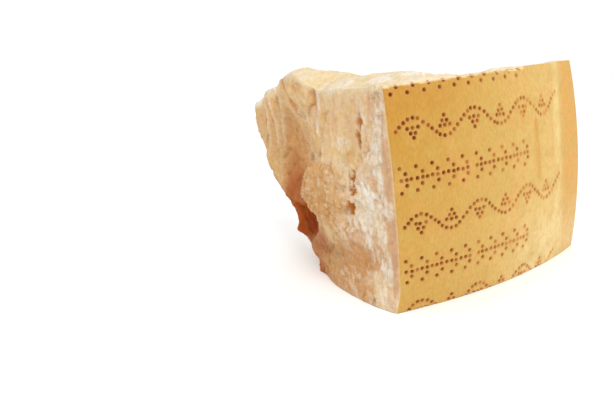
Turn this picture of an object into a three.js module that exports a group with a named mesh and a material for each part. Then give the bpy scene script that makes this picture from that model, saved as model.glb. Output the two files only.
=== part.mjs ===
import * as THREE from "three";
import { mergeVertices } from "three/addons/utils/BufferGeometryUtils.js";

// Hard cheese wedge: one piece broken from a tall wheel, with the wheel's own rind in front,
// a flat cut underneath, and rough broken faces to the left, right, top and back.

// Driving sizes, in millimetres, seen from the middle of the rind
const WHEEL_RADIUS = 223;
const BARREL_RADIUS = 298;
const RIND_LEFT = -44.5;
const RIND_RIGHT = 77;
const BASE_HEIGHT = -54.3;
const RIND_TOP = 41.9;
const RIND_TOP_RISE = 1.6;
const RIND_FOOT_SPREAD = 3.5;
const BASE_REACH = 83;
const TIP_REACH = 154;
const TIP_WIDTH = 29;
const LEFT_FACE_X = -45;
const RIND_THICKNESS = 6;

// How finely each side of the block is divided: along the rind, into the cheese, upwards
const STEPS_ALONG = 28;
const STEPS_DEEP = 33;
const STEPS_UP = 25;

// The middle of the base, seen from the middle of the rind
const MIDDLE_X = 12.6;
const MIDDLE_Y = 77;

// Sizes of the broken surface: chipped facets, flakes and the softer swells between them
const FACET_SIZE = 17;
const FACET_DEPTH = 1.5;
const FLAKE_SIZE = 8;
const FLAKE_DEPTH = 0.7;
const SWELL_SIZE = 21;
const SWELL_DEPTH = 1.4;

// A smooth step from 0 at low to 1 at high
function ramp(low, high, value) {
  const t = THREE.MathUtils.clamp((value - low) / (high - low), 0, 1);
  return t * t * (3 - 2 * t);
}

// A round mound of height 1 with elliptical foot, in a face's own two directions
function mound(p, q, atP, atQ, reachP, reachQ) {
  const away = Math.min(1, ((p - atP) / reachP) ** 2 + ((q - atQ) / reachQ) ** 2);
  return (1 - away) ** 2 * (1 + 2 * away);
}

// A repeatable number from 0 to 1 for a cell of space
function cellNumber(i, j, k, kind) {
  const wave = Math.sin(i * 127.1 + j * 311.7 + k * 74.7 + kind * 53.3) * 43758.5453;
  return wave - Math.floor(wave);
}

// Chips: every point takes the tilt and height of its nearest seed, so cells meet in small cliffs
function chips(point, size, kind) {
  const x = point.x / size;
  const y = point.y / size;
  const z = point.z / size;
  let nearest = Infinity;
  let height = 0;
  for (let i = Math.floor(x) - 1; i <= Math.floor(x) + 1; i += 1) {
    for (let j = Math.floor(y) - 1; j <= Math.floor(y) + 1; j += 1) {
      for (let k = Math.floor(z) - 1; k <= Math.floor(z) + 1; k += 1) {
        const dx = x - i - cellNumber(i, j, k, kind);
        const dy = y - j - cellNumber(i, j, k, kind + 1);
        const dz = z - k - cellNumber(i, j, k, kind + 2);
        const distance = dx * dx + dy * dy + dz * dz;
        if (distance < nearest) {
          nearest = distance;
          const lift = cellNumber(i, j, k, kind + 3) - 0.5;
          const tiltX = cellNumber(i, j, k, kind + 4) - 0.5;
          const tiltY = cellNumber(i, j, k, kind + 5) - 0.5;
          const tiltZ = cellNumber(i, j, k, kind + 6) - 0.5;
          height = lift + 1.6 * (tiltX * dx + tiltY * dy + tiltZ * dz);
        }
      }
    }
  }
  return height;
}

// Swells: smooth rolling heights from -0.5 to 0.5
function swells(point, size, kind) {
  const x = point.x / size;
  const y = point.y / size;
  const z = point.z / size;
  const i = Math.floor(x);
  const j = Math.floor(y);
  const k = Math.floor(z);
  let height = -0.5;
  for (const di of [0, 1]) {
    for (const dj of [0, 1]) {
      for (const dk of [0, 1]) {
        const nearX = di ? ramp(0, 1, x - i) : 1 - ramp(0, 1, x - i);
        const nearY = dj ? ramp(0, 1, y - j) : 1 - ramp(0, 1, y - j);
        const nearZ = dk ? ramp(0, 1, z - k) : 1 - ramp(0, 1, z - k);
        height += nearX * nearY * nearZ * cellNumber(i + di, j + dj, k + dk, kind);
      }
    }
  }
  return height;
}

// The rind is a patch of the wheel's bulging side: a point on it from its arc length and height
function onRind(arc, height) {
  const bulge = BARREL_RADIUS - Math.sqrt(BARREL_RADIUS ** 2 - height ** 2);
  const radius = WHEEL_RADIUS - bulge;
  const angle = arc / WHEEL_RADIUS;
  return [radius * Math.sin(angle), WHEEL_RADIUS - radius * Math.cos(angle)];
}

// The tip overhangs: how far back its left edge reaches at a height, in broken steps
function tipReach(height) {
  const heel = 6 * ramp(-48, -43, height);
  const shelf = 20 * ramp(-42, -34, height);
  const neck = 6 * ramp(-24, -14, height) + 22 * ramp(-20, -4, height);
  const horn = (TIP_REACH - BASE_REACH - 54) * ramp(-5, 36, height);
  return BASE_REACH + heel + shelf + neck + horn;
}

// How much the broken top stands above the rind's top edge
function topLift(x, y) {
  const behind = y - x ** 2 / (2 * WHEEL_RADIUS);
  const slope = 1.5 * ramp(0, 60, behind) - 2.5 * ramp(125, 150, y);
  const fall = 3 * ramp(-10, 50, x) * ramp(2, 25, behind);
  const inside = ramp(-46, -30, x) * (1 - ramp(-28, 30, x));
  const swell = 4.2 * ramp(4, 50, behind) * (1 - ramp(112, 150, y)) * inside;
  const leftEdge = 1 - ramp(-40, -12, x);
  const knob = 10.4 * ramp(60, 78, y) * (1 - ramp(94, 110, y));
  const shoulder = 5.2 * ramp(96, 110, y) * (1 - ramp(124, 144, y));
  return slope - fall + swell + leftEdge * (knob + shoulder);
}

// The lump on the left face, from 0 to 1: clear edges towards the tip and below, a softer one above
function lumpShare(y, z) {
  const beforeCorner = Math.max(0, 71 - y);
  const border = 11 - 0.95 * Math.max(0, y - 71) + 0.17 * beforeCorner;
  const crown = ramp(-1, 5 + 0.3 * beforeCorner, border - z);
  const foot = ramp(-1, 4, z + 12 + 0.35 * (89.5 - y));
  return ramp(20, 74, y) * (1 - ramp(89, 95, y)) * crown * foot;
}

// How much the broken left face stands out or lies back
function leftRelief(y, z) {
  const foot = 5.5 * mound(y, z, 38, -62, 42, 28);
  const lump = 6.5 * lumpShare(y, z);
  const knob = 6 * mound(y, z, 84, 52, 25, 22) * ramp(60, 72, y);
  const hollow = 5 * mound(y, z, 103, 12, 31, 31);
  const recess = 9 * mound(y, z, 96, -27, 18, 13);
  return foot + lump + knob - hollow - recess;
}

// A place in the block, from 0 to 1 along the rind, into the cheese and upwards
function placeInBlock(along, deep, up) {
  const z = BASE_HEIGHT + up * (RIND_TOP + RIND_TOP_RISE * along - BASE_HEIGHT);
  const rightEnd = RIND_RIGHT + RIND_FOOT_SPREAD * (1 - up) ** 2;
  const [rindX, rindY] = onRind(RIND_LEFT + along * (rightEnd - RIND_LEFT), z);
  const overhang = ramp(BASE_HEIGHT, RIND_TOP, z);
  const leftY = tipReach(z);
  const rightX = LEFT_FACE_X + TIP_WIDTH + 30 * (1 - overhang);
  const rightY = 105 + 45 * overhang;
  const backX = LEFT_FACE_X + along * (rightX - LEFT_FACE_X);
  const backY = leftY + along * (rightY - leftY);
  const x = rindX + deep * (backX - rindX) + 7 * Math.sin(Math.PI * deep) * along ** 2;
  const y = rindY + deep * (backY - rindY);
  const height = z + topLift(x, y) * up ** 3;
  const out = leftRelief(y, height) * (1 - along) ** 2 * ramp(3, 12, y);
  return new THREE.Vector3(x - out, y, height);
}

// The rind and the base stay smooth, and the broken faces take chips, flakes and swells
function roughness(point, deep, up) {
  const offRind = ramp(0, RIND_THICKNESS, deep * TIP_REACH);
  const offBase = ramp(0, RIND_THICKNESS, up * (RIND_TOP - BASE_HEIGHT));
  const facets = FACET_DEPTH * chips(point, FACET_SIZE, 11);
  const flakes = FLAKE_DEPTH * chips(point, FLAKE_SIZE, 23);
  const rolls = SWELL_DEPTH * swells(point, SWELL_SIZE, 37);
  return (facets + flakes + rolls) * offRind * offBase;
}

function makeWedge() {
  const block = new THREE.BoxGeometry(1, 1, 1, STEPS_ALONG, STEPS_DEEP, STEPS_UP);
  block.translate(0.5, 0.5, 0.5);
  block.deleteAttribute("normal");
  block.deleteAttribute("uv");
  const solid = mergeVertices(block, 1e-5);
  const spots = solid.attributes.position;
  const shares = [];
  for (let n = 0; n < spots.count; n += 1) {
    const share = new THREE.Vector3().fromBufferAttribute(spots, n);
    shares.push(share);
    const place = placeInBlock(share.x, share.y, share.z);
    spots.setXYZ(n, place.x, place.y, place.z);
  }
  solid.computeVertexNormals();
  const normals = solid.attributes.normal;
  for (let n = 0; n < spots.count; n += 1) {
    const place = new THREE.Vector3().fromBufferAttribute(spots, n);
    const normal = new THREE.Vector3().fromBufferAttribute(normals, n);
    place.addScaledVector(normal, roughness(place, shares[n].y, shares[n].z));
    place.z = Math.max(place.z, BASE_HEIGHT);
    spots.setXYZ(n, place.x, place.y, place.z);
  }
  solid.deleteAttribute("normal");
  solid.translate(-MIDDLE_X, -MIDDLE_Y, -BASE_HEIGHT);
  return solid;
}

const cheese = new THREE.MeshStandardMaterial({ color: 0xe8c98f, roughness: 0.62, metalness: 0 });
const wedge = new THREE.Mesh(makeWedge(), cheese);
wedge.name = "cheese_wedge";

const part = new THREE.Group();
part.add(wedge);

export default part;
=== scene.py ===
import math

import bmesh
import bpy
import numpy as np
from mathutils import Euler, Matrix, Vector


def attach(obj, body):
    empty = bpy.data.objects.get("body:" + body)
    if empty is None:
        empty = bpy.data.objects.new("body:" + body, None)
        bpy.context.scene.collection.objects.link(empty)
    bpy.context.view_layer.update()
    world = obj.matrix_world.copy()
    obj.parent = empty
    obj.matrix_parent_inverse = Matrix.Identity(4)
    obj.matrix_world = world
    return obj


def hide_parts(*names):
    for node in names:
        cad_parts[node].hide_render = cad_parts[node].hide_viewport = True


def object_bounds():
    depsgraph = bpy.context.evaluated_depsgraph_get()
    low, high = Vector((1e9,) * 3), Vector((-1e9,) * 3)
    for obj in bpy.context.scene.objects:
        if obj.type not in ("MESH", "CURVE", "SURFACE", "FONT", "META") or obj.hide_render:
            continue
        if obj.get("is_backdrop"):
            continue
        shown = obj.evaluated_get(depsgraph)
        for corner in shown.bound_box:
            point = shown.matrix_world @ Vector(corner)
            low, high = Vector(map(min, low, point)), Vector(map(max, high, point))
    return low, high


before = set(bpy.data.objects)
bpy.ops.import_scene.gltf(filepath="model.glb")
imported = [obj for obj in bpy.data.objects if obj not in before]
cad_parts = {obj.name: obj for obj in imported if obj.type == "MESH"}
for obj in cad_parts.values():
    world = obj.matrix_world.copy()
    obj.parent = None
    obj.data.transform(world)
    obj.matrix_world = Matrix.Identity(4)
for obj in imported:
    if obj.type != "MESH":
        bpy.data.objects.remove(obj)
cad_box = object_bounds()


# Camera.
# It stands close to the near edge of the rind, a little higher than the top of the wedge,
# and is held slightly askew, so that both the rind and the left broken face show.
CAMERA_PLACE = Vector((-0.1700, -0.2374, 0.0940))
CAMERA_TURN = (78.365, 7.025, -25.529)
CAMERA_LENS = 29.41

camera_data = bpy.data.cameras.new("camera")
camera_data.lens = CAMERA_LENS
camera_data.sensor_width = 36
camera_data.clip_start = 0.01
camera = bpy.data.objects.new("camera", camera_data)
camera.location = CAMERA_PLACE
camera.rotation_euler = Euler([math.radians(turn) for turn in CAMERA_TURN])
bpy.context.collection.objects.link(camera)
bpy.context.scene.camera = camera


# The paste: the pale, dry inside of the cheese, one block broken out of a wheel.
# It is cut flat underneath; its left, right, top and back faces are crumbled, with chips,
# flakes and softer swells, and its tip overhangs.
# All sizes are millimetres from the middle of the rind.
WHEEL_RADIUS = 223
BARREL_RADIUS = 298
RIND_LEFT = -44.5
RIND_RIGHT = 77
RIND_FOOT_SPREAD = 3.5
RIND_TOP = 41.9
RIND_TOP_RISE = 1.6
BASE_HEIGHT = -54.3
BASE_REACH = 83
TIP_REACH = 154
TIP_WIDTH = 29
LEFT_FACE_X = -45
RIND_THICKNESS = 6
MIDDLE = np.array((12.6, 77, BASE_HEIGHT))
FACET_SIZE, FACET_DEPTH = 17, 1.5
FLAKE_SIZE, FLAKE_DEPTH = 8, 0.7
SWELL_SIZE, SWELL_DEPTH = 21, 1.4


def ramp(low, high, value):
    """A smooth step from 0 at low to 1 at high."""
    t = np.clip((value - low) / (high - low), 0, 1)
    return t * t * (3 - 2 * t)


def mound(p, q, at_p, at_q, reach_p, reach_q):
    """A round mound of height 1 with an elliptical foot."""
    away = np.minimum(1, ((p - at_p) / reach_p) ** 2 + ((q - at_q) / reach_q) ** 2)
    return (1 - away) ** 2 * (1 + 2 * away)


def cell_number(i, j, k, kind):
    """A repeatable number from 0 to 1 for a cell of space. Each kind is its own pattern."""
    wave = np.sin(i * 127.1 + j * 311.7 + k * 74.7 + kind * 53.3) * 43758.5453
    return wave - np.floor(wave)


def chips(points, size, kind):
    """Every point takes the tilt and height of its nearest seed, so cells meet in small cliffs.

    The size may differ along X, Y and Z. Every cell also has a tone from 0 to 1.
    """
    x, y, z = (points / size).T
    ci, cj, ck = np.floor(x), np.floor(y), np.floor(z)
    nearest = np.full(len(x), np.inf)
    height = np.zeros(len(x))
    tone = np.zeros(len(x))
    for i in (ci - 1, ci, ci + 1):
        for j in (cj - 1, cj, cj + 1):
            for k in (ck - 1, ck, ck + 1):
                dx = x - i - cell_number(i, j, k, kind)
                dy = y - j - cell_number(i, j, k, kind + 1)
                dz = z - k - cell_number(i, j, k, kind + 2)
                distance = dx * dx + dy * dy + dz * dz
                lift = cell_number(i, j, k, kind + 3)
                tilt_x = cell_number(i, j, k, kind + 4) - 0.5
                tilt_y = cell_number(i, j, k, kind + 5) - 0.5
                tilt_z = cell_number(i, j, k, kind + 6) - 0.5
                here = distance < nearest
                nearest = np.where(here, distance, nearest)
                slope = 1.6 * (tilt_x * dx + tilt_y * dy + tilt_z * dz)
                height = np.where(here, lift - 0.5 + slope, height)
                tone = np.where(here, lift, tone)
    return height, tone


def swells(points, size, kind):
    """Smooth rolling heights from -0.5 to 0.5. The size may differ along X, Y and Z."""
    x, y, z = (points / size).T
    i, j, k = np.floor(x), np.floor(y), np.floor(z)
    share = [(1 - ramp(0, 1, t - c), ramp(0, 1, t - c)) for t, c in ((x, i), (y, j), (z, k))]
    height = np.full(len(x), -0.5)
    for di in (0, 1):
        for dj in (0, 1):
            for dk in (0, 1):
                near = share[0][di] * share[1][dj] * share[2][dk]
                height += near * cell_number(i + di, j + dj, k + dk, kind)
    return height


def on_rind(arc, height):
    """A point on the wheel's bulging side from its arc length and height."""
    radius = WHEEL_RADIUS - (BARREL_RADIUS - np.sqrt(BARREL_RADIUS**2 - height**2))
    angle = arc / WHEEL_RADIUS
    return radius * np.sin(angle), WHEEL_RADIUS - radius * np.cos(angle)


def tip_reach(height):
    """How far back the tip's left edge reaches at a height, in broken steps."""
    heel = 6 * ramp(-48, -43, height)
    shelf = 20 * ramp(-42, -34, height)
    neck = 6 * ramp(-24, -14, height) + 22 * ramp(-20, -4, height)
    horn = (TIP_REACH - BASE_REACH - 54) * ramp(-5, 36, height)
    return BASE_REACH + heel + shelf + neck + horn


def top_lift(x, y):
    """How much the broken top stands above the rind's top edge."""
    behind = y - x**2 / (2 * WHEEL_RADIUS)
    slope = 1.5 * ramp(0, 60, behind) - 2.5 * ramp(125, 150, y)
    fall = 3 * ramp(-10, 50, x) * ramp(2, 25, behind)
    inside = ramp(-46, -30, x) * (1 - ramp(-28, 30, x))
    swell = 4.2 * ramp(4, 50, behind) * (1 - ramp(112, 150, y)) * inside
    left_edge = 1 - ramp(-40, -12, x)
    knob = 10.4 * ramp(60, 78, y) * (1 - ramp(94, 110, y))
    shoulder = 5.2 * ramp(96, 110, y) * (1 - ramp(124, 144, y))
    return slope - fall + swell + left_edge * (knob + shoulder)


def lump_share(y, z):
    """How much of the lump's height there is on the left face, from 0 to 1."""
    before_corner = np.maximum(0, 71 - y)
    border = 11 - 0.95 * np.maximum(0, y - 71) + 0.17 * before_corner
    crown = ramp(-1, 5 + 0.3 * before_corner, border - z)
    foot = ramp(-1, 4, z + 12 + 0.35 * (89.5 - y))
    return ramp(20, 74, y) * (1 - ramp(89, 95, y)) * crown * foot


def left_relief(y, z):
    """How much the broken left face stands out or lies back."""
    foot = 5.5 * mound(y, z, 38, -62, 42, 28)
    lump = 6.5 * lump_share(y, z)
    knob = 6 * mound(y, z, 84, 52, 25, 22) * ramp(60, 72, y)
    hollow = 5 * mound(y, z, 103, 12, 31, 31)
    recess = 9 * mound(y, z, 96, -27, 18, 13)
    return foot + lump + knob - hollow - recess


def place_in_block(shares):
    """Places in the block from shares of 0 to 1 along the rind, into the cheese and upwards."""
    along, deep, up = shares.T
    z = BASE_HEIGHT + up * (RIND_TOP + RIND_TOP_RISE * along - BASE_HEIGHT)
    right_end = RIND_RIGHT + RIND_FOOT_SPREAD * (1 - up) ** 2
    rind_x, rind_y = on_rind(RIND_LEFT + along * (right_end - RIND_LEFT), z)
    overhang = ramp(BASE_HEIGHT, RIND_TOP, z)
    left_y = tip_reach(z)
    right_x = LEFT_FACE_X + TIP_WIDTH + 30 * (1 - overhang)
    right_y = 105 + 45 * overhang
    back_x = LEFT_FACE_X + along * (right_x - LEFT_FACE_X)
    back_y = left_y + along * (right_y - left_y)
    x = rind_x + deep * (back_x - rind_x) + 7 * np.sin(np.pi * deep) * along**2
    y = rind_y + deep * (back_y - rind_y)
    height = z + top_lift(x, y) * up**3
    out = left_relief(y, height) * (1 - along) ** 2 * ramp(3, 12, y)
    return np.stack((x - out, y, height), axis=1)


def block(steps):
    """A unit cube from 0 to 1, divided into grids: steps along X, Y and Z."""
    cube = bmesh.new()
    bmesh.ops.create_cube(cube, size=1)
    bmesh.ops.translate(cube, verts=cube.verts, vec=(0.5, 0.5, 0.5))
    for axis, count in enumerate(steps):
        edges = [e for e in cube.edges if abs(e.verts[0].co[axis] - e.verts[1].co[axis]) > 0.5]
        bmesh.ops.subdivide_edges(cube, edges=edges, cuts=count - 1, use_grid_fill=True)
    return cube


def side(mesh, axis, value):
    """The faces of a unit block that lie on one of its six sides."""
    return [f for f in mesh.faces if all(abs(v.co[axis] - value) < 1e-6 for v in f.verts)]


def close_with_one_face(mesh, faces):
    """Swaps a grid of faces for a single face with the same border."""
    bmesh.ops.delete(mesh, geom=faces, context="FACES")
    border = [e for e in mesh.edges if e.is_boundary]
    bmesh.ops.holes_fill(mesh, edges=border, sides=0)


def open_side(mesh, faces):
    """Takes a grid of faces away for now, so that they don't tilt the surface round them."""
    bmesh.ops.delete(mesh, geom=faces, context="FACES")


def close_opening(piece):
    """Closes the side of a piece that was left open, with a fan of faces round its middle."""
    mesh = bmesh.new()
    mesh.from_mesh(piece.data)
    border = [e for e in mesh.edges if e.is_boundary]
    cover = bmesh.ops.holes_fill(mesh, edges=border, sides=0)["faces"]
    bmesh.ops.poke(mesh, faces=cover)
    bmesh.ops.recalc_face_normals(mesh, faces=mesh.faces)
    mesh.to_mesh(piece.data)
    mesh.free()


def refine(mesh, faces):
    """Halves the grid on some faces."""
    edges = list({e for f in faces for e in f.edges})
    bmesh.ops.subdivide_edges(mesh, edges=edges, cuts=1, use_grid_fill=True)


def new_piece(name, mesh):
    """Makes an object of a bmesh, and gives its points and their shares of the unit block."""
    data = bpy.data.meshes.new(name)
    mesh.to_mesh(data)
    mesh.free()
    piece = bpy.data.objects.new(name, data)
    bpy.context.collection.objects.link(piece)
    shares = np.empty(len(data.vertices) * 3)
    data.vertices.foreach_get("co", shares)
    return piece, shares.reshape(-1, 3)


def move_points(piece, points):
    """Sets a piece's points, and gives the directions that its surface faces at them."""
    piece.data.vertices.foreach_set("co", points.ravel())
    piece.data.update()
    normals = np.empty(points.size)
    piece.data.vertex_normals.foreach_get("vector", normals)
    return normals.reshape(-1, 3)


def paint(piece, name, values):
    """Keeps one number for each point, which the piece's material reads."""
    layer = piece.data.attributes.new(name, "FLOAT", "POINT")
    layer.data.foreach_set("value", np.clip(values, 0, 1).astype(np.float32))


def finish_piece(piece, points):
    """Puts a piece in its place in metres, with smooth shading, as part of the cheese."""
    move_points(piece, (points - MIDDLE) / 1000)
    close_opening(piece)
    piece.data.shade_smooth()
    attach(piece, "root")
    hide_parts("cheese_wedge")


PASTE_STEPS = (84, 112, 76)
PASTE_START = 3
PASTE_TUCK = 1.6
SEAM = 4.6
LEFT_FACE_FADE = 9
TOP_FACE_START = 0.965

# How the cheese breaks: sizes along X, Y and Z of its plates, flakes, grains and threads
PLATE_SIZE = np.array((4.6, 4.2, 7.5))
THIN_FLAKE_SIZE = np.array((2.4, 2.1, 3.6))
GRAIN_SIZE = 1.25
THREAD_SIZE = np.array((1.6, 1.2, 13))
KNOB_CHIP_SIZE = np.array((9, 7, 12))
CLIFF_SIZE = np.array((13, 11, 15))
LAYER_SIZE = np.array((24, 8, 14))
SLAB_SIZE = np.array((9, 5, 7))
HOLE_SIZE = np.array((9, 1.7, 2.4))
PATCH_SIZE = np.array((7, 6, 9))
RUN_SIZE = np.array((3, 2.2, 16))
FRINGE_SIZE = np.array((3, 8, 1.2))

# Places on the left face: the Y and height of the middle, and the reach along both
KNOB = (82, 48, 24, 22)
FLAT_PATCH = (41, -36, 23, 11)
FLAT_CORNER = (35, -26, 8, 5)
HOLLOW = (104, 5, 26, 38)
RECESS = (104, -29, 22, 19)
RECESS_LIMIT = (104, -28, 29, 22)
RECESS_MIDDLE = (98, -28, 9, 9)
ABOVE_RECESS = (106, -13, 17, 15)
BELOW_RECESS = (81, -36, 17, 13)
BESIDE_LUMP = (108, -9, 21, 31)
LUMP_TOP = (45, 1, 15, 12)
PANEL_FOOT = (41, 12, 16, 9)
FRINGE = (30, -49, 34, 12)
FEATHERED = (26, -26, 30, 22)
STRIP_GAP = (17, -17, 9, 8)
STRIP_NICK = (24.5, 8.5, 5, 6)

# The same with a strength: spots darker or paler than the rest, and swells near the outline
# Darker spots: those at the lump's left edge and in the hollow above the lump are painted shade
STAIN_AND_SHADE_MARKS = (
    (75, 48, 5, 4, 0.5),
    (73, 17, 7, 6, 0.5),
    (36.5, 12.5, 4, 3, 0.45),
    (76, -6, 5, 8, 0.6),
    (66, -12, 11, 9, 0.3),
    (24.5, 8.5, 3.5, 4, 0.35),
)
PALE_MARKS = (
    (78, 33, 6, 6, 0.5),
    (45, 18, 10, 4.5, 0.6),
    (23, 26, 7, 13, 0.6),
    (27, -3, 8, 7, 0.7),
    (20, -30, 6, 10, 0.7),
    (47, -32, 10, 4, 0.4),
)
RIM_SWELLS = (
    (146, 38, 8, 8, 1.5),
    (137, 7, 9, 9, 2.2),
    (109, -19, 8, 4.5, -1.2),
    (108.5, -26, 8, 5.5, 1.4),
    (97, -41, 9, 4.5, -1.6),
)

# Holes, and lines through points of the left face, given as Y and height
PITS = ((26.3, 28.6, 3.2, 3.2), (28.3, 21.8, 3.5, 2.4), (35.4, -4.0, 1.9, 3.2))
CRACK = ((35.4, 6), (35.6, -2), (37.2, -7), (39.5, -13))
UPPER_CRACK = ((25.5, 31), (26.3, 27), (28.5, 22), (28, 18))
KNOB_GROOVE = ((94, 52), (91, 49.6), (85.2, 44), (83.6, 38), (86, 33.5))
KNOB_CREVICE = ((67.8, 42.5), (68.7, 37), (73.6, 33.2))
PALE_BAND = ((64.5, 46), (63.5, 38), (63.9, 31), (66, 24))
PANEL_CREASE = ((57.5, 42), (59.5, 33.5), (60.9, 25.8), (64, 17))

# Ledges on the tip: how far each stands out, and its edge as Y at some heights
LEDGES = (
    (3.4, ((4, 121), (16, 117.5), (23, 114.5), (33, 110), (41, 105), (47, 99.5))),
    (2.0, ((16, 125.5), (28, 122), (36, 121), (44, 123))),
    (2.4, ((16, 135), (23, 132.5), (32, 130.5), (41, 128))),
)

# A swell on the top: the X and Y of its middle, and the reach along both
TOP_SWELL = (-27, 70, 12, 13)


def chips_and_swells(points):
    """The coarse relief: facets, flakes and swells."""
    relief = FACET_DEPTH * chips(points, FACET_SIZE, 11)[0]
    relief += FLAKE_DEPTH * chips(points, FLAKE_SIZE, 23)[0]
    return relief + SWELL_DEPTH * swells(points, SWELL_SIZE, 37)


def coarse_relief(points, shares):
    """The coarse relief, worn softer on top, fading out at the rind's face and at the base."""
    relief = chips_and_swells(points)
    top = ramp(TOP_FACE_START, 1, shares[:, 2])
    on_top = top > 0
    around = ((1.8, 0.4, 0), (-1.8, -0.4, 0), (-0.4, 1.8, 0), (0.4, -1.8, 0), (0.9, 0.9, 0))
    worn = sum(chips_and_swells(points[on_top] + place) for place in around) / len(around)
    relief[on_top] += top[on_top] * (worn - relief[on_top])
    fade = ramp(0, RIND_THICKNESS, shares[:, 1] * TIP_REACH)
    return relief * fade * ramp(0, RIND_THICKNESS, shares[:, 2] * (RIND_TOP - BASE_HEIGHT))


def hump(value, middle, reach):
    """A mound along one direction alone."""
    return mound(value, 0, middle, 0, reach, 1)


def marks(y, z, places):
    """The strongest of some marks at each point."""
    return np.max([share * mound(y, z, *place) for *place, share in places], axis=0)


def groove(y, z, route, width):
    """1 on a line through some points of the left face, falling to 0 at a width from it."""
    near = np.full(len(y), np.inf)
    for (y0, z0), (y1, z1) in zip(route, route[1:]):
        length = math.hypot(y1 - y0, z1 - z0)
        t = np.clip(((y - y0) * (y1 - y0) + (z - z0) * (z1 - z0)) / length**2, 0, 1)
        near = np.minimum(near, np.hypot(y - y0 - t * (y1 - y0), z - z0 - t * (z1 - z0)))
    return 1 - ramp(0, width, near)


def ledge(y, z, route):
    """A step that climbs to an edge and drops, and then the hollow behind it."""
    edge = np.interp(z, *zip(*route))
    drop = ramp(edge, edge + 2, y)
    return ramp(edge - 6, edge, y) - drop, drop - ramp(edge + 2.5, edge + 7, y)


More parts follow.
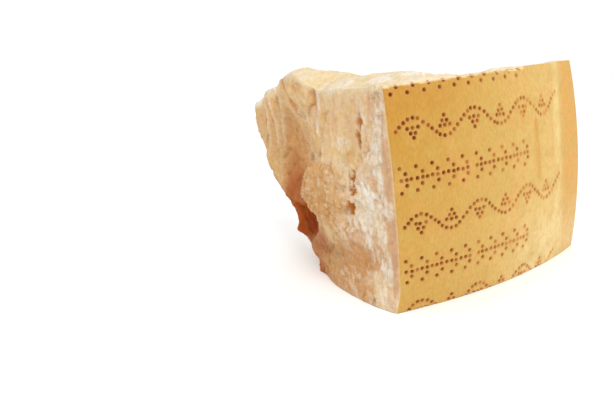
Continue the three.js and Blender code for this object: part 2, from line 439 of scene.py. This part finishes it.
class BrokenFaces:
    """The broken faces of a piece, as numbers for each of the piece's points."""

    def __init__(self, points, shares):
        self.points = points
        self.along, deep, up = shares.T
        self.y, self.z = points[:, 1], points[:, 2]
        self.into = deep * TIP_REACH
        self.above_base = up * (RIND_TOP - BASE_HEIGHT)
        self.below_top = (1 - up) * (RIND_TOP - BASE_HEIGHT)
        self.left = np.clip(1 - self.along * LEFT_FACE_FADE, 0, 1)
        self.top = ramp(TOP_FACE_START, 1, up)
        self.others = (1 - self.left) * (1 - self.top)
        self.tip_edge = (1 - ramp(0.02, 0.12, self.along)) * ramp(0.96, 1, deep)
        self.stray = 12 * swells(points, 14, 51) + 5 * swells(points, 4, 52)
        self.warp = np.stack([swells(points, 5, kind) for kind in (61, 62, 63)], axis=1)
        self.near_y = self.y + 3 * self.warp[:, 1]
        self.near_z = self.z + 3 * self.warp[:, 2]
        self.find_zones()
        self.find_grain()
        self.find_lines()
        self.find_relief()

    def ragged(self, place):
        """A mound on the left face with an uneven outline."""
        return mound(self.near_y, self.near_z, *place)

    def find_zones(self):
        """The parts of the left face that break in ways of their own."""
        left, y, z, stray = self.left, self.y, self.z, self.stray
        # The smooth panel above the lump
        panel = left * ramp(14, 20, z + 0.25 * (y - 30)) * (1 - ramp(56, 64, y))
        self.panel = panel * ramp(14, 22, y + stray)
        # The whitish strip beside the rind
        strip_end = 17 + 17 * hump(z, -13, 29)
        self.strip = left * ramp(4, 8, y) * (1 - ramp(0.8, 1.35, (y + stray) / strip_end))
        # The smooth brown band between that strip and the rind
        smooth = hump(z, 8, 18) + hump(z, -29, 22)
        band_end = 10.5 + 4 * hump(z, -22, 16) + 2 * hump(z, 3, 8)
        band = left * ramp(4, 5.5, y) * (1 - ramp(-1.5, 1.5, y + 0.3 * stray - band_end))
        self.band = band * np.maximum(0.25, ramp(0.2, 0.6, smooth))
        # The lump, the knob, the flat patch and the rest of the foot, the tip and the hollow
        self.lump = left * ramp(0.05, 0.45, lump_share(y, z))
        self.knob = left * mound(y, z, *KNOB)
        self.flat = left * ramp(0.1, 0.5, self.ragged(FLAT_PATCH) + self.ragged(FLAT_CORNER))
        self.lower = left * (1 - ramp(-36, -26, z + 0.2 * (y - 50))) * ramp(12, 34, y + stray)
        self.tip = left * ramp(98, 108, y)
        self.hollow = left * mound(y + 0.5 * stray, z, *HOLLOW)

    def find_grain(self):
        """The plates, flakes, grains and threads, and the thin layers that show on top."""
        points, warp = self.points, self.warp
        self.plates, self.plate_tone = chips(points + 2 * warp, PLATE_SIZE, 71)
        self.flakes, self.flake_tone = chips(points + 1.5 * warp, THIN_FLAKE_SIZE, 83)
        self.grains, self.grain_tone = chips(points, GRAIN_SIZE, 97)
        self.threads = swells(points, THREAD_SIZE, 41)
        layers = swells(points + 2.5 * warp, LAYER_SIZE, 151) + 0.4 * swells(points, 6, 153)
        slabs = chips(points + 1.5 * warp, SLAB_SIZE, 155)[0]
        self.terraces = ramp(-0.2, 0.16, layers) - 0.5 + 0.2 * slabs

    def find_lines(self):
        """The ledges on the tip, and the cracks, pits and creases of the left face."""
        left, y, z, near_y, near_z = self.left, self.y, self.z, self.near_y, self.near_z
        on_tip = left * ramp(6, 24, z)
        ledges = [ledge(y + 0.8 * self.warp[:, 1], z, route) for _, route in LEDGES]
        steps = [step for step, _ in ledges]
        self.ledges = on_tip * sum(height * step for (height, _), step in zip(LEDGES, steps))
        # Painted highlight along the crests of the ledges
        self.crest_highlights = on_tip * sum(np.maximum(0, step) ** 3 for step in steps)
        self.flutes = on_tip * sum(behind for _, behind in ledges)

        along_crack = np.maximum(groove(y, z, CRACK, 3.4), groove(y, z, UPPER_CRACK, 3.0))
        holes = chips(self.points + 1.2 * self.warp, HOLE_SIZE, 191)[1]
        self.pits = left * ramp(0.26, 0.56, along_crack * ramp(0.35, 0.6, holes))
        for pit in PITS:
            hole = left * ramp(0.05, 1, self.ragged(pit) + 0.25 * self.grains)
            self.pits = np.maximum(self.pits, hole)
        self.pale_band = left * groove(near_y, near_z, PALE_BAND, 2.6)
        self.crevice = left * groove(near_y, near_z, KNOB_CREVICE, 2.2)
        self.scar = left * groove(near_y, near_z, KNOB_GROOVE, 3.2)
        self.crease = left * groove(near_y, near_z, PANEL_CREASE, 3.0)

    def find_relief(self):
        """How far every point stands out, in millimetres."""
        calm = 1 - 0.75 * self.panel - 0.8 * self.flat - 0.75 * self.band - 0.6 * self.tip
        calm = np.maximum(0.15, calm - 0.1 * self.lump - 0.4 * self.knob - 0.3 * self.strip)
        calm = calm * (1 - 0.6 * self.tip_edge)
        relief = calm * (0.8 * self.plates + 0.55 * self.flakes + 0.3 * self.grains)
        relief += self.threads * (0.5 * self.panel + 0.3 * self.lump + 0.7 * self.tip)
        knob_chips = chips(self.points, KNOB_CHIP_SIZE, 171)[0]
        relief += self.knob * (0.8 * knob_chips + 0.3 * self.threads)
        relief += self.ledges
        cliffs = chips(self.points + 3 * self.warp, CLIFF_SIZE, 181)[0]
        past_rims = ramp(0.02, 0.25, self.along) * ramp(5, 16, self.into)
        relief += 1.7 * self.others * past_rims * cliffs

        soft_top = 0.8 * self.terraces + 0.06 * self.flakes + 0.04 * self.grains
        swell = 1.5 * mound(self.points[:, 0], self.y, *TOP_SWELL)
        relief += self.top * (soft_top + swell - relief)
        relief += 0.6 * self.pale_band - 0.8 * self.scar - 0.5 * self.crease
        relief -= 1.5 * self.pits + 1.3 * self.crevice
        rims = sum(height * mound(self.y, self.z, *place) for *place, height in RIM_SWELLS)
        relief += self.left * rims
        self.relief = relief * ramp(0, 1.5, self.into) * ramp(0, 1.5, self.above_base)

    def glow(self):
        """Painted warm shade, deep orange: in the recess, and fainter on the rims near it."""
        y, z = self.y, self.z
        recess = self.ragged(RECESS) + 0.4 * swells(self.points, 9, 211) + 0.2 * self.plates
        recess = ramp(0, 0.82, recess) * mound(y, z, *RECESS_LIMIT) ** 0.45
        runs = 0.6 * swells(self.points, RUN_SIZE, 231)
        beside_lump = ramp(0.1, 1.2, mound(y, z, *BESIDE_LUMP) + runs)
        back_rim = ramp(-12, -1, y - tip_reach(z)) * (1 - ramp(-39, -34, z))
        foot_rim = (1 - ramp(-54, -46, z)) * ramp(52, 70, y)
        rims = np.maximum(0.5 * back_rim + 0.35 * foot_rim, 0.6 * self.ragged(BELOW_RECESS))
        around = 0.55 * beside_lump + rims + 0.3 * self.ragged(ABOVE_RECESS)
        return self.left * np.maximum(recess, around)

    def shade(self):
        """Painted shade, brown: in pits, grooves and the deeper gaps of the relief."""
        grooves = np.maximum(0.4 * self.scar, 0.15 * self.crease)
        shade = np.maximum(np.maximum(self.pits, 0.6 * self.crevice), grooves)
        gaps = ramp(0.35, 1.1, -self.relief) * (0.45 - 0.27 * self.others) * (1 - self.top)
        return np.maximum(shade, gaps)

    def pale(self):
        """Where the cheese is whitish, beside the rind and on flakes, and a painted highlight
        on crests.
        """
        left, y, z = self.left, self.y, self.z
        feather = left * mound(y, z, *FEATHERED) * (1 - self.flat) * ramp(4, 10, y)
        strip = self.strip * (0.75 + 0.25 * ramp(8, 20, y)) * (1 - 0.4 * ramp(-34, -44, z))
        strip = strip * (1 - 0.5 * mound(y, z, *STRIP_GAP))
        strip = strip * (1 - 0.7 * mound(y, z, *STRIP_NICK))
        veil = self.others * ramp(0, 0.3, swells(self.points, 17, 221))
        pale = np.maximum(np.maximum(strip, 0.95 * feather), 0.7 * veil) * (1 - self.band)

        patches = 0.4 * (0.5 + swells(self.points, PATCH_SIZE, 201)) + 0.25 * self.flake_tone
        flecks = ramp(0.3, 0.62, patches + 0.2 * self.plate_tone + 0.15 * self.grain_tone)
        pale = np.maximum(pale, left * marks(y, z, PALE_MARKS)) * flecks

        slanted = (self.points[:, 0], 0.75 * y + 0.66 * z, 0.75 * z - 0.66 * y)
        streaks = ramp(0, 0.2, swells(np.stack(slanted, axis=1), FRINGE_SIZE, 161))
        fringe = left * ramp(0.1, 0.6, mound(y, z, *FRINGE)) * streaks
        lump_border = self.lump * (1 - self.lump) * 4
        rough = 0.4 * self.lump + 0.3 * self.knob + 0.2 * self.lower
        specks = ramp(0.78, 0.95, self.grain_tone) * rough
        pale = np.maximum(pale, np.maximum(0.38 * fringe, 0.3 * self.crest_highlights))
        pale = np.maximum(pale, np.maximum(0.55 * self.pale_band, 0.35 * lump_border))
        return np.maximum(pale, np.maximum(specks, self.top_flecks()))

    def layering(self):
        """Which of the thin layers shows on top."""
        return self.terraces + 0.8 * (self.flake_tone - 0.5) + 0.9 * (self.plate_tone - 0.5)

    def knob_top(self):
        """The slope of the knob on the top face."""
        past_knob = (1 - ramp(96, 120, self.y)) * (1 - ramp(0.1, 0.5, self.along))
        return self.top * ramp(46, 62, self.y) * past_knob

    def top_flecks(self):
        """Where the top is whitish."""
        return 0.75 * (self.top - self.knob_top()) * ramp(-0.2, 0.6, self.layering())

    def tone(self):
        """How light the flakes are."""
        tone = 0.55 * self.plate_tone + 0.3 * self.flake_tone + 0.15 * self.grain_tone
        tone += self.panel * (0.55 + self.threads - tone)
        tone += 0.5 * self.left * mound(self.y, self.z, *PANEL_FOOT)
        return tone + 0.25 * self.tip + 0.3 * self.knob

    def paint_on(self, piece):
        """Keeps on the piece what its material reads."""
        y, z, left, top = self.y, self.z, self.left, self.top
        below_top = self.below_top + 0.2 * self.stray
        top_edge = (1 - top) * (1 - 0.8 * self.knob) * (1 - ramp(1, 6, below_top))
        # Where the layers on top lie low they turn yellow: painted shade in the grooves between
        # them. The top's edge is yellow too.
        yellow_and_groove_shade = np.maximum(top * ramp(-0.1, 0.5, -self.layering()), top_edge)
        yellow_and_groove_shade = np.maximum(yellow_and_groove_shade, 0.35 * self.knob_top())
        lump_gold = self.lump * (1 - 0.6 * mound(y, z, *LUMP_TOP))
        # Painted shade, ochre: in the hollow, behind the ledges and in the knob's groove
        ochre = np.maximum(0.8 * self.hollow, np.maximum(0.35 * self.flutes, 0.6 * self.scar))
        stain_and_shade_marks = left * marks(self.near_y, self.near_z, STAIN_AND_SHADE_MARKS)
        # Painted warm shade: deep orange in the recess and on the rims near it
        paint(piece, "glow", self.glow())
        # Painted shade, darkest at the middle of the recess
        paint(piece, "ember", 0.8 * left * self.ragged(RECESS_MIDDLE))
        paint(piece, "shade", self.shade())
        paint(piece, "pale", self.pale())
        paint(piece, "cream", np.maximum(top - 0.1 * self.knob_top(), 0.45 * top_edge))
        # Also a painted highlight, in yellow, on the crests of the ledges
        paint(piece, "layer", np.maximum(yellow_and_groove_shade, 0.6 * self.crest_highlights))
        paint(piece, "gold", lump_gold + 0.6 * self.tip + 0.25 * self.knob)
        paint(piece, "ochre", np.maximum(ochre, stain_and_shade_marks))
        # Painted shade on the lower block and its flat patch, which face downwards
        paint(piece, "warm", np.maximum(self.flat, 0.75 * self.lower))
        paint(piece, "band", self.band)
        paint(piece, "tone", self.tone())
        paint(piece, "inward", self.into / 20)


def crumble(piece, points, shares):
    """Paints the colours of the broken faces on a piece, and gives their fine relief."""
    faces = BrokenFaces(points, shares)
    faces.paint_on(piece)
    return faces.relief


paste_mesh = block(PASTE_STEPS)
close_with_one_face(paste_mesh, side(paste_mesh, 2, 0))
open_side(paste_mesh, side(paste_mesh, 1, 0))
refine(paste_mesh, side(paste_mesh, 0, 0) + side(paste_mesh, 2, 1))
bmesh.ops.recalc_face_normals(paste_mesh, faces=paste_mesh.faces)
paste, paste_shares = new_piece("cheese_paste", paste_mesh)
first_share = PASTE_START / TIP_REACH
paste_shares[:, 1] = first_share + (1 - first_share) * paste_shares[:, 1]
paste_points = place_in_block(paste_shares)
paste_out = move_points(paste, paste_points)
paste_points += paste_out * coarse_relief(paste_points, paste_shares)[:, None]
tuck = PASTE_TUCK * (1 - ramp(PASTE_START, SEAM, paste_shares[:, 1] * TIP_REACH))
paste_points += paste_out * (crumble(paste, paste_points, paste_shares) - tuck)[:, None]
paste_points[:, 2] = np.maximum(paste_points[:, 2], BASE_HEIGHT)
finish_piece(paste, paste_points)


class Wire:
    """A socket of a material. Arithmetic on it adds the matching Math node."""

    def __init__(self, tree, socket=None):
        self.tree = tree
        self.socket = socket

    def node(self, kind, settings, inputs, output=0):
        """Any node, from its type, its settings and the values or links of its sockets."""
        made = self.tree.nodes.new(kind)
        for name, value in settings.items():
            if name == "stops":
                for place, _ in value[2:]:
                    made.color_ramp.elements.new(place)
                for stop, (place, colour) in zip(made.color_ramp.elements, value):
                    stop.position = place
                    stop.color = (*colour, 1)
            else:
                setattr(made, name, value)
        for name, value in inputs.items():
            if isinstance(value, Wire):
                self.tree.links.new(value.socket, made.inputs[name])
            else:
                made.inputs[name].default_value = value
        return Wire(self.tree, made.outputs[output] if made.outputs else None)

    def maths(self, operation, first, second):
        return self.node("ShaderNodeMath", {"operation": operation}, {0: first, 1: second})

    def __add__(self, other):
        return self.maths("ADD", self, other)

    def __mul__(self, other):
        return self.maths("MULTIPLY", self, other)

    def __sub__(self, other):
        return self.maths("SUBTRACT", self, other)

    def __rsub__(self, other):
        return self.maths("SUBTRACT", other, self)

    __radd__ = __add__
    __rmul__ = __mul__

    def over(self, low, high):
        """0 below low and 1 above high."""
        inputs = {"Value": self, "From Min": low, "From Max": high}
        return self.node("ShaderNodeMapRange", {"clamp": True}, inputs)

    def blend(self, colour, other, blend_type="MIX"):
        """A colour that turns into another as this wire goes from 0 to 1."""
        settings = {"data_type": "RGBA", "blend_type": blend_type}
        inputs = {0: self, 6: colour, 7: other}
        return self.node("ShaderNodeMix", settings, inputs, output=2)


def start_material(name):
    """A material without nodes, apart from its output."""
    material = bpy.data.materials.new(name)
    material.use_nodes = True
    material.node_tree.nodes.clear()
    return material, Wire(material.node_tree)


def painted(wire, name):
    """A number that was painted on the points of a piece."""
    return wire.node("ShaderNodeAttribute", {"attribute_name": name}, {}, output=2)


def noise(wire, size, detail=3.0, stretch=(1, 1, 1)):
    """Noise with features of a size in millimetres, longer where the stretch is above 1."""
    place = wire.node("ShaderNodeTexCoord", {}, {}, output=3)
    scale = [1000 / size / share for share in stretch]
    place = wire.node("ShaderNodeMapping", {}, {"Vector": place, "Scale": scale})
    return wire.node("ShaderNodeTexNoise", {}, {"Vector": place, "Scale": 1, "Detail": detail})


def close_material(wire, shader_inputs):
    """Links a Principled shader to the output."""
    shader = wire.node("ShaderNodeBsdfPrincipled", {}, shader_inputs)
    wire.node("ShaderNodeOutputMaterial", {}, {"Surface": shader})


PASTE = (0.68, 0.50, 0.30, 1)
PASTE_YELLOW = (0.70, 0.51, 0.25, 1)
PASTE_PEACH = (0.66, 0.42, 0.245, 1)
PASTE_GOLD = (0.58, 0.335, 0.135, 1)
# Ochre, for painted shade in hollows and for darker spots
PASTE_STAIN_AND_SHADE = (0.55, 0.27, 0.085, 1)
# Painted shade for the lower block, which faces downwards
PASTE_LOWER_SHADE = (0.51, 0.25, 0.085, 1)
PASTE_CREAM = (0.66, 0.58, 0.44, 1)
# Yellow, also for painted shade between the layers on top and a painted highlight on the crests
# of the ledges
PASTE_LAYER = (0.70, 0.54, 0.29, 1)
PASTE_PALE = (0.76, 0.73, 0.66, 1)
PASTE_SHADE = (0.47, 0.165, 0.018, 1)
# Painted warm shade in the recess
PASTE_WARM_SHADE = (0.36, 0.068, 0.001, 1)
# Painted shade, darkest at the middle of the recess
PASTE_DEEPEST_SHADE = (0.26, 0.035, 0.001, 1)
UNDER_RIND = (0.57, 0.33, 0.18, 1)
RIND_EDGE = (0.76, 0.57, 0.32, 1)
GRAIN_DARK = (0.86, 0.80, 0.72, 1)
MOTTLE_DARK = (0.88, 0.80, 0.66, 1)
SCATTER_SIZE = 0.0022
SCATTER_TINT = (1.0, 0.5, 0.22)


def paste_colour(wire):
    """The colour of broken cheese: mottled, paler on flakes, gold on the lump, and orange with
    painted shade in hollows.
    """
    tone = painted(wire, "tone")
    colour = noise(wire, 9, 3.0).over(0.38, 0.62).blend(PASTE_PEACH, PASTE)
    colour = (tone.over(0.35, 0.75) * 0.8).blend(colour, PASTE_YELLOW)
    colour = painted(wire, "gold").blend(colour, PASTE_GOLD)
    # Ochre: painted shade in hollows, and darker spots
    colour = painted(wire, "ochre").blend(colour, PASTE_STAIN_AND_SHADE)
    # Painted shade on the lower block and its flat patch, which face downwards
    colour = (painted(wire, "warm") * 0.9).blend(colour, PASTE_LOWER_SHADE)
    under = painted(wire, "inward").over(0.72, 0.45) * 0.5
    colour = under.blend(colour, UNDER_RIND)
    colour = (painted(wire, "band") * 0.6).blend(colour, UNDER_RIND)
    colour = painted(wire, "cream").blend(colour, PASTE_CREAM)
    # Yellow on the top's edge, painted shade between the layers on top, and a painted highlight
    # on the crests of the ledges
    colour = (painted(wire, "layer") * 0.7).blend(colour, PASTE_LAYER)
    broken = noise(wire, 1.6, 4.0, (1, 1, 1.8)).over(0.25, 0.52)
    colour = (painted(wire, "pale") * broken).blend(colour, PASTE_PALE)
    colour = (painted(wire, "inward").over(0.11, 0.03) * 0.8).blend(colour, RIND_EDGE)
    colour = (noise(wire, 1.4, 4.0).over(0.56, 0.72) * 0.3).blend(colour, PASTE_PALE)
    # Painted shade in pits, grooves and the deeper gaps of the relief
    colour = painted(wire, "shade").blend(colour, PASTE_SHADE)
    # Painted warm shade: deep orange in the recess and on the rims near it
    colour = painted(wire, "glow").blend(colour, PASTE_WARM_SHADE)
    # Painted shade, darkest at the middle of the recess
    colour = painted(wire, "ember").blend(colour, PASTE_DEEPEST_SHADE)
    mottle = noise(wire, 2.6, 5.0).over(0.42, 0.68)
    colour = (mottle * 0.8).blend(colour, MOTTLE_DARK, "MULTIPLY")
    grain = noise(wire, 0.7, 4.0).over(0.35, 0.65)
    return (grain * 0.6).blend(colour, GRAIN_DARK, "MULTIPLY")


paste_material, wire = start_material("crumbled_paste")
grain_bump = {"Height": noise(wire, 0.6, 4.0), "Strength": 0.45, "Distance": 0.0004}
paste_inputs = {
    "Base Color": paste_colour(wire),
    "Roughness": 0.62,
    "Subsurface Weight": 0.25,
    "Subsurface Radius": SCATTER_TINT,
    "Subsurface Scale": SCATTER_SIZE,
    "Specular IOR Level": 0.18,
    "Normal": wire.node("ShaderNodeBump", {}, grain_bump),
}
close_material(wire, paste_inputs)
paste.data.materials.append(paste_material)


# The rind: the hard golden skin round the wheel, here a curved slab on the front of the paste.
# Its face is smooth and finely grained, and carries rows of small pricked holes,
# which darken and redden with age. Its broken upper edge is chipped.
RIND_STEPS = (250, 6, 190)
RIND_DEPTH = 6
RIND_TUCK = 1.8
PIN_ROWS = 6
PIN_PITCH = 2.5
PIN_SPACING = 2.45
EAR_COLUMNS = 15
VINE_PERIOD = 30
VINE_HEIGHT = 4.6
BERRY_SPACING = 2.3
ROW_HEIGHT = 19.7
ROW_MIDDLE = 44
ROW_SLOPE = 0.023
ROW_START = -41.5
LONG_ROW_END = 54
SHORT_ROW_END = 31
PIN_DEPTH = 0.8
PIN_REACH = 1.3
PIN_RIM = 0.10
PIN_FLOOR = 0.5
PIN_WALL = 1.05
SKIN_SWELL_SIZE = np.array((17, 17, 24))
SKIN_GRAIN_SIZE = np.array((2.2, 2.2, 5))
CHIP_REACH = 1.1
CHIP_DEPTH = 0.5
CHIP_SIZE = np.array((3, 9, 9))
SMALL_CHIP_SIZE = np.array((1.1, 9, 9))
CHIPPED_END = 31
STRIPE_START = 51
EDGE_BAND_START = 58
SCUFF = (34.6, 15, 2.2, 7)
SCUFF_TAIL = (35.4, 1, 2.6, 15)


def on_skin(shares):
    """Arc lengths and heights on the rind of shares of the unit block."""
    along, _, up = shares.T
    right_end = RIND_RIGHT + RIND_FOOT_SPREAD * (1 - up) ** 2
    arc = RIND_LEFT + along * (right_end - RIND_LEFT)
    return arc, BASE_HEIGHT + up * (RIND_TOP + RIND_TOP_RISE * along - BASE_HEIGHT)


def ear_pins(end):
    """Pins of a row of ears of wheat, each a stem with slanting grains, up to an arc length."""
    for column in range(int((end - ROW_START) / PIN_SPACING) + 1):
        place = column % EAR_COLUMNS
        for line in range(-2, 3):
            grain = (place + abs(line)) % 3 == 2
            if place < EAR_COLUMNS - 1 and (line == 0 or grain):
                yield ROW_START + column * PIN_SPACING, line * PIN_PITCH


def vine_pins(end):
    """Pins of a vine that waves up and down to an arc length, with a bunch in every bend."""
    arc = ROW_START
    while arc <= end:
        turn = 2 * math.pi * (arc - ROW_START) / VINE_PERIOD
        yield arc, VINE_HEIGHT * math.sin(turn)
        steepness = 2 * math.pi * VINE_HEIGHT / VINE_PERIOD * math.cos(turn)
        arc += PIN_SPACING / math.hypot(1, steepness)
    for bend in range(int((end - ROW_START) / VINE_PERIOD * 2)):
        way = 1 if bend % 2 == 0 else -1
        middle = ROW_START + (bend + 0.5) * VINE_PERIOD / 2
        for line in range(3):
            for berry in range(3 - line):
                across = (berry - (2 - line) / 2) * BERRY_SPACING
                yield middle + across, way * (0.6 - line * 0.87 * BERRY_SPACING)


def pin_places():
    """Arc lengths and heights of all the pins, a little uneven as pricked by hand."""
    places = []
    for row in range(PIN_ROWS):
        middle = ROW_MIDDLE - row * ROW_HEIGHT
        pins = vine_pins(LONG_ROW_END) if row % 2 else ear_pins(SHORT_ROW_END)
        for number, (arc, lift) in enumerate(pins):
            drift = cell_number(number, row, 0, 5) - 0.5
            shift = cell_number(number, row, 0, 6) - 0.5
            places.append((arc + 0.5 * drift, middle + lift + ROW_SLOPE * arc + 0.4 * shift))
    return places


def pin_distance(arc, height):
    """Distance from points on the rind to their nearest pin, and a number for that pin."""
    near = np.full(len(arc), 100.0)
    number = np.zeros(len(arc))
    for pin_arc, pin_height in pin_places():
        distance = np.hypot(arc - pin_arc, height - pin_height)
        number = np.where(distance < near, cell_number(pin_arc, pin_height, 0, 7), number)
        near = np.minimum(near, distance)
    return near, number


rind_mesh = block(RIND_STEPS)
close_with_one_face(rind_mesh, side(rind_mesh, 2, 0))
open_side(rind_mesh, side(rind_mesh, 1, 1))
front = side(rind_mesh, 1, 0)
middles = np.array([face.calc_center_median() for face in front])
near_pins = pin_distance(*on_skin(middles))[0] < PIN_REACH
refine(rind_mesh, [face for face, near in zip(front, near_pins) if near])
bmesh.ops.recalc_face_normals(rind_mesh, faces=rind_mesh.faces)
rind, rind_shares = new_piece("cheese_rind", rind_mesh)
is_skin = rind_shares[:, 1] < 1e-6
rind_shares[:, 1] *= RIND_DEPTH / TIP_REACH
rind_points = place_in_block(rind_shares)
rind_out = move_points(rind, rind_points)
rind_points += rind_out * coarse_relief(rind_points, rind_shares)[:, None]
rind_crumble = crumble(rind, rind_points, rind_shares)
arc, height = on_skin(rind_shares)
distance, number = pin_distance(arc, height)

# The pins leave holes with a low rim, deep and dark at the left, and shallower to the right,
# where their paler colour is painted glare
depth = 1 - 0.5 * ramp(-35, 55, arc) - 0.12 * ramp(40, -50, height) - 0.4 * number**2
pin = (1 - ramp(PIN_FLOOR, PIN_WALL, distance)) * is_skin
rim = (ramp(0.7, 1.0, distance) - ramp(1.0, 1.5, distance)) * is_skin
skin_relief = 0.5 * swells(rind_points, SKIN_SWELL_SIZE, 131)
skin_relief += 0.16 * swells(rind_points, SKIN_GRAIN_SIZE, 137)
skin_relief += PIN_RIM * rim - PIN_DEPTH * pin * depth

# The upper edge is chipped to an uneven depth, and the left and right ends stay sharp
below_top = (1 - rind_shares[:, 2]) * (RIND_TOP - BASE_HEIGHT)
ragged = CHIP_REACH + 1.2 * swells(rind_points, CHIP_SIZE, 141)
ragged += 0.6 * swells(rind_points, SMALL_CHIP_SIZE, 143)
chipped = 1 - ramp(ragged - 0.4, ragged + 0.1, below_top)
chipped = chipped * (1 - ramp(CHIPPED_END - 1, CHIPPED_END + 0.5, arc))
inside = ramp(0, 0.02, rind_shares[:, 0]) * ramp(0, 0.02, 1 - rind_shares[:, 0])
skin_relief = (skin_relief - CHIP_DEPTH * chipped) * inside

# The back of the rind is tucked in, so that it stays under the paste
rind_tuck = RIND_TUCK * ramp(SEAM + 0.4, RIND_DEPTH, rind_shares[:, 1] * TIP_REACH)
rind_points += rind_out * np.where(is_skin, skin_relief, rind_crumble - rind_tuck)[:, None]
rind_points[:, 2] = np.maximum(rind_points[:, 2], BASE_HEIGHT)
paint(rind, "skin", is_skin * (1 - chipped))
# Painted glare: the holes' colour pales towards the right
paint(rind, "pin", pin * depth)
paint(rind, "halo", (1 - ramp(0.6, 1.7, distance)) * is_skin)
# Painted light: the rind lightens towards its right end and its foot
paint(rind, "light_side", 0.7 * ramp(-45, 62, arc) + 0.3 * ramp(30, -54, height))
# Painted light, reflected from the floor onto the lower right of the rind
paint(rind, "corner", ramp(0, 48, arc) * ramp(-12, -48, height))
paint(rind, "top_corner", ramp(12, -35, arc) * ramp(12, 36, height))
border = arc + 3 * hump(height, -6, 44) - 2 * ramp(28, 42, height)
past_stripe, past_edge = border - STRIPE_START, border - EDGE_BAND_START
paint(rind, "stripe", ramp(0, 4, past_stripe) - ramp(6, 9, past_stripe))
paint(rind, "edge_band", ramp(0, 6, past_edge) * (1 - 0.5 * ramp(-10, -50, height)))
scuff = mound(arc, height, *SCUFF) + 0.7 * mound(arc, height, *SCUFF_TAIL)
paint(rind, "scuff", scuff)
finish_piece(rind, rind_points)

# The rind's colour in painted shade at its left end and in painted light at its right end
SKIN_DARK = (0.465, 0.25, 0.036, 1)
SKIN_LIGHT = (0.67, 0.475, 0.175, 1)
# Painted light, reflected from the floor onto the lower right of the rind
SKIN_BOUNCED_LIGHT = (0.72, 0.56, 0.27, 1)
SKIN_STRIPE = (0.70, 0.53, 0.22, 1)
SKIN_BAND = (0.60, 0.295, 0.05, 1)
SKIN_SCUFF = (0.55, 0.24, 0.03, 1)
SKIN_OLIVE = (0.50, 0.34, 0.085, 1)
SKIN_ROSY = (0.62, 0.33, 0.10, 1)
SKIN_TOP = (0.45, 0.20, 0.025, 1)
SKIN_FRECKLE = (0.52, 0.26, 0.055, 1)
PIN_HALO = (0.55, 0.23, 0.05, 1)
PIN_BROWN = (0.14, 0.021, 0.0005, 1)
STREAK = (0.84, 0.78, 0.70, 1)

rind_material, wire = start_material("golden_rind")
# Painted light: darker at the left, lighter to the right and at the foot
colour = painted(wire, "light_side").blend(SKIN_DARK, SKIN_LIGHT)
# Painted light, reflected from the floor onto the lower right of the rind
colour = painted(wire, "corner").blend(colour, SKIN_BOUNCED_LIGHT)
colour = (painted(wire, "stripe") * 0.8).blend(colour, SKIN_STRIPE)
colour = (painted(wire, "edge_band") * 0.75).blend(colour, SKIN_BAND)
colour = (painted(wire, "scuff") * 0.8).blend(colour, SKIN_SCUFF)
colour = (noise(wire, 12, 3.0).over(0.46, 0.7) * 0.6).blend(colour, SKIN_OLIVE)
colour = (noise(wire, 8, 3.0, (1, 1, 1.6)).over(0.55, 0.72) * 0.4).blend(colour, SKIN_ROSY)
colour = (painted(wire, "top_corner") * 0.4).blend(colour, SKIN_TOP)
colour = (noise(wire, 2.6, 5.0, (1, 1, 1.4)).over(0.5, 0.68) * 0.3).blend(colour, SKIN_FRECKLE)
streaks = noise(wire, 0.8, 4.0, (1, 1, 2.5)).over(0.35, 0.65)
colour = (streaks * 0.6).blend(colour, STREAK, "MULTIPLY")
colour = (painted(wire, "halo") * 0.65).blend(colour, PIN_HALO)
colour = painted(wire, "pin").blend(colour, PIN_BROWN)
colour = painted(wire, "skin").blend(paste_colour(wire), colour)
skin_bump = {"Height": streaks, "Strength": 0.4, "Distance": 0.0003}
rind_inputs = {
    "Base Color": colour,
    "Roughness": 0.66 - 0.12 * painted(wire, "skin"),
    "Subsurface Weight": 0.12,
    "Subsurface Radius": SCATTER_TINT,
    "Subsurface Scale": SCATTER_SIZE,
    "Specular IOR Level": 0.2,
    "Normal": wire.node("ShaderNodeBump", {}, skin_bump),
}
close_material(wire, rind_inputs)
rind.data.materials.append(rind_material)


# The floor and the light.
# A wide white floor under an even white surround, with one large soft light
# from the front, so that the shadow is faint.
FLOOR_RADIUS = 6
FLOOR_WHITE = (0.97, 0.97, 0.97, 1)
SURROUND = 1.05
LAMP_PLACE = Vector((-0.15, -0.95, 0.85))
LAMP_SIZE = 0.7
LAMP_POWER = 7

floor_mesh = bmesh.new()
bmesh.ops.create_circle(floor_mesh, cap_ends=True, segments=96, radius=FLOOR_RADIUS)
floor_data = bpy.data.meshes.new("floor")
floor_mesh.to_mesh(floor_data)
floor_mesh.free()
floor = bpy.data.objects.new("floor", floor_data)
bpy.context.collection.objects.link(floor)
floor_material, wire = start_material("white_floor")
close_material(wire, {"Base Color": FLOOR_WHITE, "Roughness": 0.9, "Specular IOR Level": 0.1})
floor_data.materials.append(floor_material)
floor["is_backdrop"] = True

lamp_data = bpy.data.lights.new("lamp", "AREA")
lamp_data.shape = "DISK"
lamp_data.size = LAMP_SIZE
lamp_data.energy = LAMP_POWER
lamp = bpy.data.objects.new("lamp", lamp_data)
lamp.location = LAMP_PLACE
lamp.rotation_euler = (-LAMP_PLACE).to_track_quat("-Z", "Y").to_euler()
bpy.context.collection.objects.link(lamp)

world = bpy.data.worlds.new("surround")
bpy.context.scene.world = world
world.use_nodes = True
world.node_tree.nodes["Background"].inputs["Color"].default_value = (1, 1, 1, 1)
world.node_tree.nodes["Background"].inputs["Strength"].default_value = SURROUND
bpy.context.scene.view_settings.view_transform = "Standard"

[[list(corner) for corner in box] for box in (cad_box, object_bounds())]
